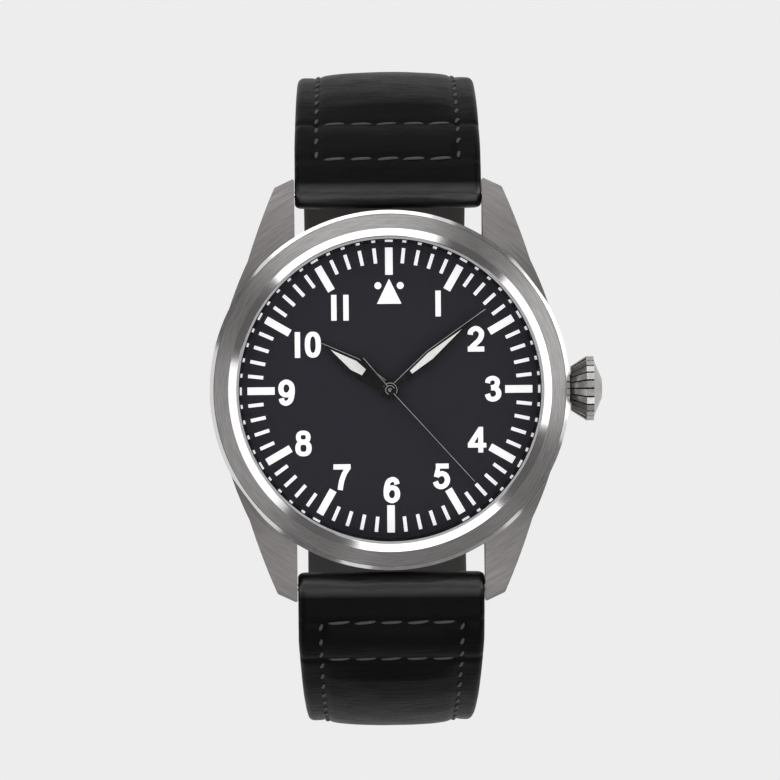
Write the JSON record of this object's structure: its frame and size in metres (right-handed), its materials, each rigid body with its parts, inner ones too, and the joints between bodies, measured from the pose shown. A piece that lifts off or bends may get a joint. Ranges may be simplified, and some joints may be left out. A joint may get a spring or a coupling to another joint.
{
  "type": "wristwatch",
  "caption": "Pilot wristwatch: steel case with four lugs, black dial with large white numerals and bars, fluted crown, padded black leather strap on a tang buckle",
  "frame": {"origin": "centre of the flat outer face of the case back, on the axis of the hands", "axes": "+Z out of the dial towards the viewer, +Y to 12 o'clock, +X to the crown at 3 o'clock"},
  "size_m": [0.0426, 0.0734, 0.0566],
  "materials": {
    "steel_brushed": "straight-brushed stainless steel",
    "steel_polished": "polished stainless steel",
    "crown_steel": "fine matt stainless steel",
    "crystal": "clear domed sapphire",
    "gasket": "black seal rubber",
    "dial_black": "matt black lacquer",
    "white_print": "white luminous paint",
    "hand_black": "black lacquered steel",
    "flange": "bright turned ring",
    "brass": "gilt brass",
    "nickel": "nickel-plated brass with a striped finish",
    "blued": "heat-blued steel",
    "spring_steel": "tempered spring steel",
    "ruby": "synthetic ruby",
    "leather": "smooth black calf leather, padded",
    "lining": "dark grey lining leather"
  },
  "bodies": {
    "watch_head": {"case_middle": "steel_brushed", "bezel": "steel_brushed", "crystal": "crystal", "crystal_gasket": "gasket", "flange_ring": "flange", "dial": "dial_black", "dial_markers": "white_print", "case_back": "steel_brushed", "back_gasket": "gasket", "crown_tube": "steel_polished", "main_plate": "nickel", "barrel_bridge": "nickel", "train_bridge": "nickel", "balance_cock": "nickel", "pallet_cock": "nickel", "bridge_screws": "blued", "jewels": "ruby", "hairspring": "blued", "movement_ring": "nickel", "casing_clamps": "steel_polished", "casing_screws": "blued", "spring_bars": "steel_polished"},
    "minute": {"minute_hand": "hand_black", "minute_lume": "white_print", "cannon_pinion": "spring_steel", "centre_wheel": "brass"},
    "hour": {"hour_hand": "hand_black", "hour_lume": "white_print", "hour_wheel": "brass"},
    "seconds": {"seconds_hand": "hand_black", "fourth_wheel": "brass"},
    "third": {"third_wheel": "brass"},
    "escape": {"escape_wheel": "spring_steel"},
    "barrel_drum": {"barrel": "brass", "mainspring": "spring_steel"},
    "motion_wheel": {"minute_wheel": "brass"},
    "pallets": {"pallet_fork": "spring_steel"},
    "balance": {"balance_wheel": "brass"},
    "winding_works": {"winding_pinion": "spring_steel", "sliding_clutch": "spring_steel"},
    "crown_set": {"crown": "crown_steel", "winding_stem": "spring_steel", "crown_gasket": "gasket"},
    "transfer_wheel": {"crown_wheel": "steel_polished"},
    "ratchet": {"ratchet_wheel": "steel_polished", "barrel_arbor": "spring_steel"},
    "click_lever": {"click": "steel_polished"},
    "upper_tip": {"upper_bar_tip": "steel_polished"},
    "lower_tip": {"lower_bar_tip": "steel_polished"},
    "upper_strap": {"upper_leather": "leather", "upper_lining": "lining", "fixed_keeper": "leather"},
    "lower_strap": {"lower_leather": "leather", "lower_lining": "lining"},
    "buckle": {"buckle_frame": "steel_polished", "buckle_bar": "steel_polished"},
    "tongue": {"buckle_tongue": "steel_polished"},
    "keeper": {"sliding_keeper": "leather"}
  },
  "joints": [
    {"name": "minute_turn", "type": "hinge", "parent": "watch_head", "child": "minute", "pos_m": [0, 0, 0], "axis": [0, 0, -1], "continuous": true},
    {"name": "hour_turn", "type": "hinge", "parent": "watch_head", "child": "hour", "pos_m": [0, 0, 0], "axis": [0, 0, -1], "continuous": true},
    {"name": "seconds_turn", "type": "hinge", "parent": "watch_head", "child": "seconds", "pos_m": [0, 0, 0], "axis": [0, 0, -1], "continuous": true},
    {"name": "third_turn", "type": "hinge", "parent": "watch_head", "child": "third", "pos_m": [0.00202, -0.00351, 0], "axis": [0, 0, -1], "continuous": true},
    {"name": "escape_turn", "type": "hinge", "parent": "watch_head", "child": "escape", "pos_m": [-0.00338, -0.00195, 0], "axis": [0, 0, -1], "continuous": true},
    {"name": "barrel_turn", "type": "hinge", "parent": "watch_head", "child": "barrel_drum", "pos_m": [0.00266, 0.00571, 0], "axis": [0, 0, -1], "continuous": true},
    {"name": "minute_wheel_turn", "type": "hinge", "parent": "watch_head", "child": "motion_wheel", "pos_m": [0.00301, 0.00109, 0], "axis": [0, 0, -1], "continuous": true},
    {"name": "balance_swing", "type": "hinge", "parent": "watch_head", "child": "balance", "pos_m": [-0.00805, 0.00075, 0], "axis": [0, 0, -1], "range_deg": [-25, 25], "stiffness_Nm_per_rad": 0.0000002, "deforming": ["hairspring"]},
    {"name": "pallet_rock", "type": "hinge", "parent": "watch_head", "child": "pallets", "pos_m": [-0.00546, -0.00075, 0], "axis": [0, 0, -1], "range_deg": [-7.5, 7.5]},
    {"name": "crown_turn", "type": "hinge", "parent": "watch_head", "child": "winding_works", "pos_m": [0, 0, 0.0037], "axis": [1, 0, 0], "continuous": true},
    {"name": "crown_pull", "type": "slide", "parent": "winding_works", "child": "crown_set", "axis": [1, 0, 0], "range_m": [0, 0.0012]},
    {"name": "transfer_wheel_turn", "type": "hinge", "parent": "watch_head", "child": "transfer_wheel", "pos_m": [0.007, 0, 0], "axis": [0, 0, 1], "continuous": true},
    {"name": "ratchet_turn", "type": "hinge", "parent": "watch_head", "child": "ratchet", "pos_m": [0.00266, 0.00571, 0], "axis": [0, 0, 1], "continuous": true},
    {"name": "click_lift", "type": "hinge", "parent": "watch_head", "child": "click_lever", "pos_m": [-0.0013, 0.00905, 0], "axis": [0, 0, -1], "range_deg": [0, 12], "stiffness_Nm_per_rad": 0.00001},
    {"name": "upper_tip_push", "type": "slide", "parent": "watch_head", "child": "upper_tip", "axis": [-1, 0, 0], "range_m": [0, 0.00095], "stiffness_N_per_m": 100},
    {"name": "lower_tip_push", "type": "slide", "parent": "watch_head", "child": "lower_tip", "axis": [-1, 0, 0], "range_m": [0, 0.00095], "stiffness_N_per_m": 100},
    {"name": "upper_strap_swing", "type": "hinge", "parent": "watch_head", "child": "upper_strap", "pos_m": [0, 0.0214, 0.0029], "axis": [1, 0, 0], "range_deg": [0, 60], "deforming": ["upper_leather", "upper_lining"]},
    {"name": "lower_strap_swing", "type": "hinge", "parent": "watch_head", "child": "lower_strap", "pos_m": [0, -0.0214, 0.0029], "axis": [-1, 0, 0], "range_deg": [0, 60], "deforming": ["lower_leather", "lower_lining"]},
    {"name": "buckle_swing", "type": "hinge", "parent": "upper_strap", "child": "buckle", "pos_m": [0, 0.00204, -0.0415], "axis": [1, 0, 0], "range_deg": [0, 90]},
    {"name": "tongue_swing", "type": "hinge", "parent": "buckle", "child": "tongue", "pos_m": [0, 0.00204, -0.0415], "axis": [1, 0, 0], "range_deg": [0, 60]},
    {"name": "keeper_slide", "type": "slide", "parent": "upper_strap", "child": "keeper", "axis": [0, -0.9709, -0.2395], "range_m": [-0.0015, 0.0015]}
  ],
  "couplings": [
    {"joint": "hour_turn", "follows": "minute_turn", "ratio": 0.083333},
    {"joint": "seconds_turn", "follows": "minute_turn", "ratio": 60},
    {"joint": "third_turn", "follows": "minute_turn", "ratio": -8},
    {"joint": "escape_turn", "follows": "minute_turn", "ratio": -540},
    {"joint": "barrel_turn", "follows": "minute_turn", "ratio": -0.16667},
    {"joint": "minute_wheel_turn", "follows": "minute_turn", "ratio": -0.33333},
    {"joint": "pallet_rock", "follows": "balance_swing", "ratio": -0.3},
    {"joint": "transfer_wheel_turn", "follows": "crown_turn", "ratio": 0.66667},
    {"joint": "ratchet_turn", "follows": "crown_turn", "ratio": -0.47619}
  ]
}
